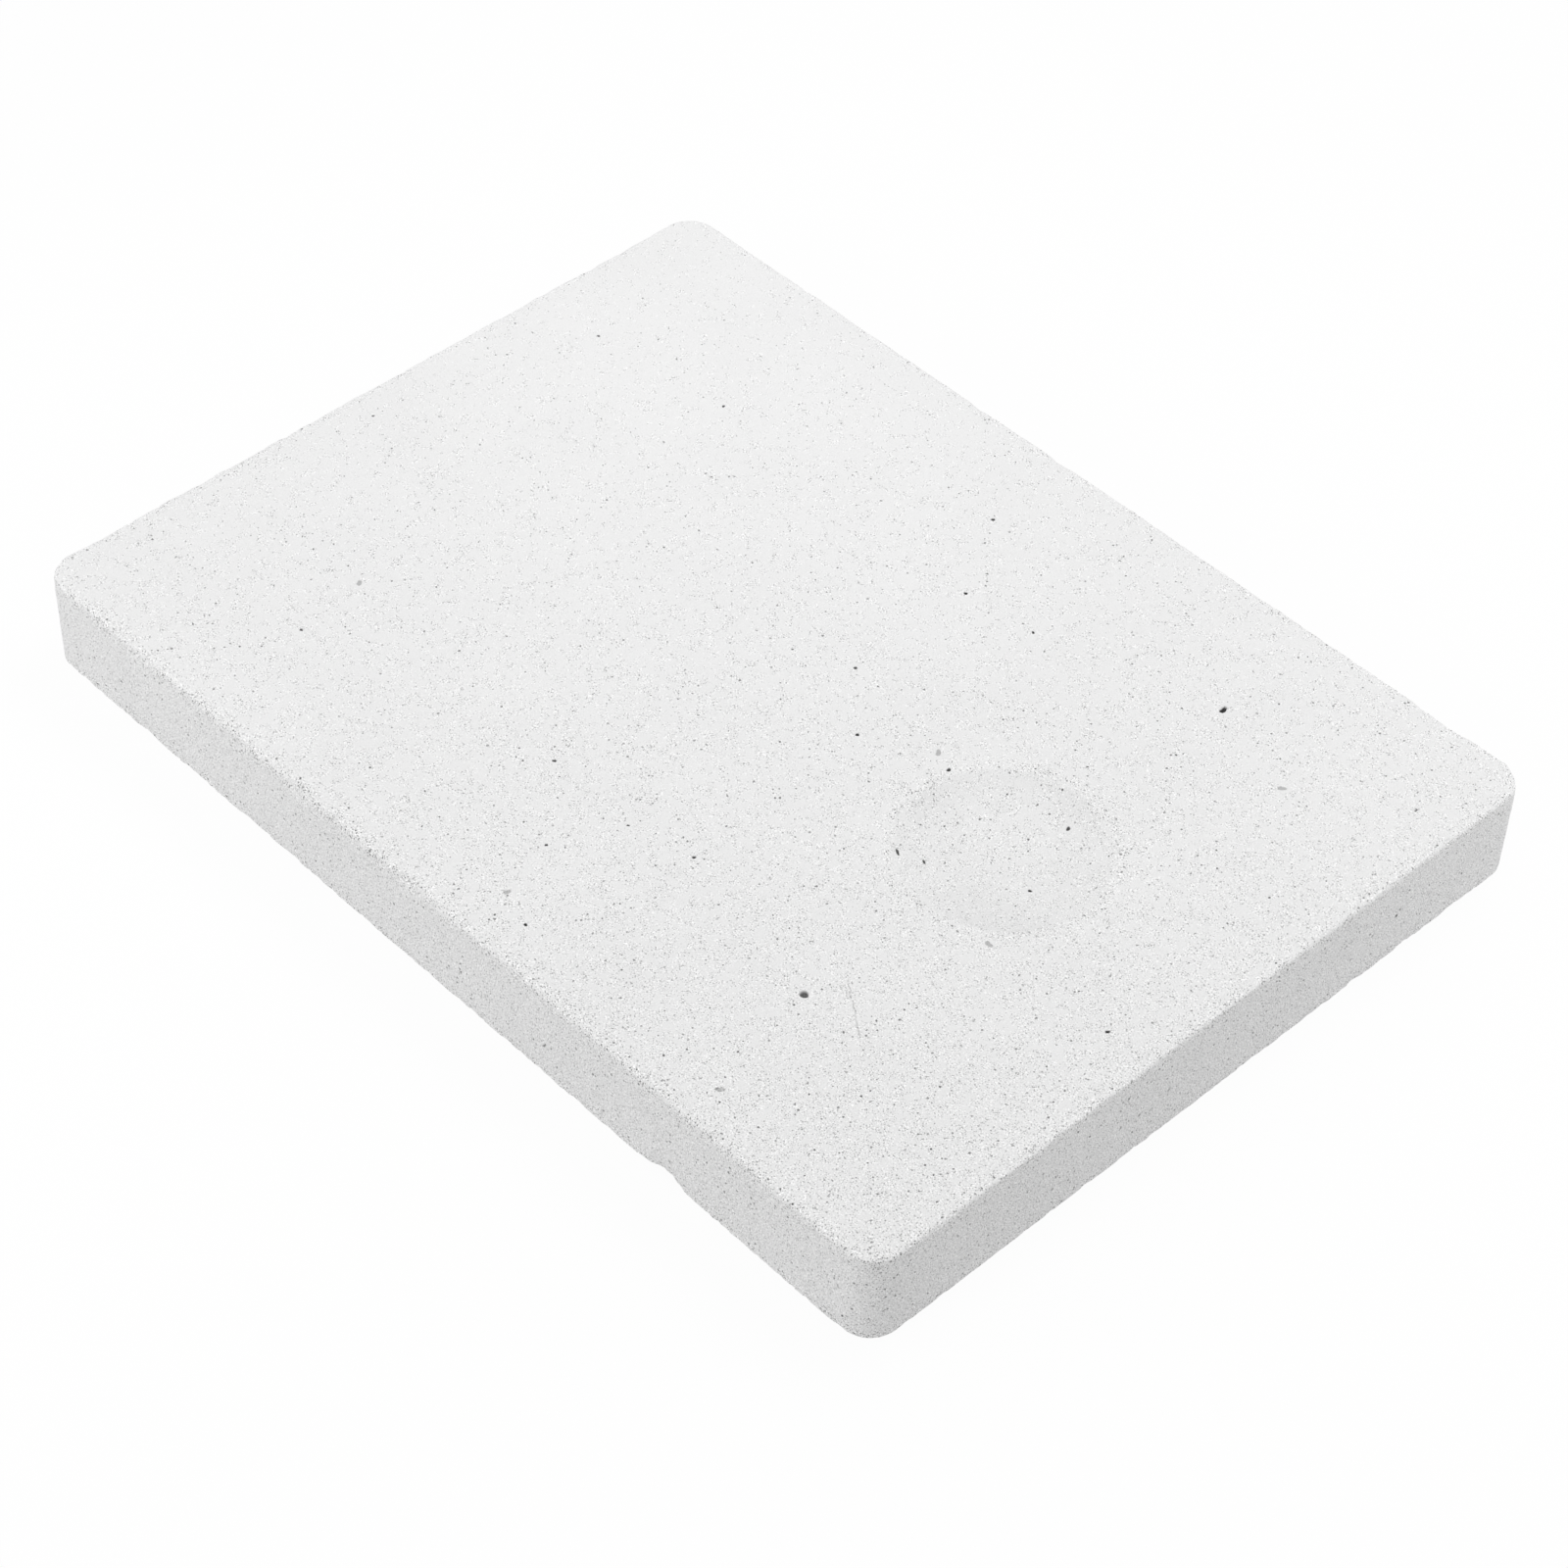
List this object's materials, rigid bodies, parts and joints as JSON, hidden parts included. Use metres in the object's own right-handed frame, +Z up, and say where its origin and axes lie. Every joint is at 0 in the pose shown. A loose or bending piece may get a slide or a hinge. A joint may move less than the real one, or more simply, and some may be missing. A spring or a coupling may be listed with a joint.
{
  "type": "soldering block",
  "caption": "Flat rectangular slab of white refractory with rounded corners and a shallow round melting dish near an end, for resting work on while it is soldered.",
  "frame": {"origin": "middle of the underside, on the surface that the block lies on", "axes": "+X along the length, towards the end with the melting dish; +Y across the width; +Z up, out of the top face"},
  "size_m": [0.135, 0.1, 0.0123],
  "materials": {
    "refractory": "matt white, moulded, finely porous, with crumbly edges"
  },
  "bodies": {
    "root": {"soldering_block": "refractory"}
  },
  "joints": []
}
